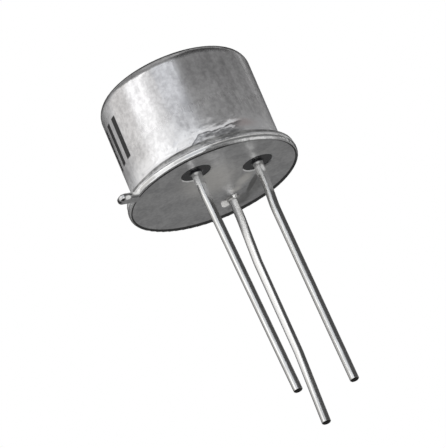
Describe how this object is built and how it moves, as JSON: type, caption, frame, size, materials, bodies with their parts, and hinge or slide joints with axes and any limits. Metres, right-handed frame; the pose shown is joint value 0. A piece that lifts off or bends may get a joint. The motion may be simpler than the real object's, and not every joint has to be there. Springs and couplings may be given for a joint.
{
  "type": "bipolar transistor",
  "caption": "Bipolar transistor in a flanged round metal can with an index tab, glass-sealed wire leads and a collector lead joined to the header.",
  "frame": {"origin": "centre of the header's underside, the face that sits against the board", "axes": "+Z along the can's axis towards its top, so the leads run down along -Z; the emitter lead is at -X, the base lead at -Y, the collector lead at +X, and the index tab points half way between -X and +Y"},
  "size_m": [0.0092, 0.0092, 0.0194],
  "materials": {
    "nickel_cap": "satin nickel plate on drawn sheet",
    "nickel_header": "satin plated",
    "seal_glass": "near-black opaque glass, glossy",
    "tinned_wire": "bright tinned wire",
    "braze": "smooth braze metal",
    "silicon": "polished silicon",
    "gold_solder": "gold alloy",
    "bond_metal": "bright wire"
  },
  "bodies": {
    "root": {"header": "nickel_header", "cap": "nickel_cap", "emitter_seal": "seal_glass", "base_seal": "seal_glass", "emitter_lead": "tinned_wire", "base_lead": "tinned_wire", "collector_lead": "tinned_wire", "collector_braze": "braze", "chip": "silicon", "chip_solder": "gold_solder", "emitter_wire": "bond_metal", "base_wire": "bond_metal"}
  },
  "joints": []
}
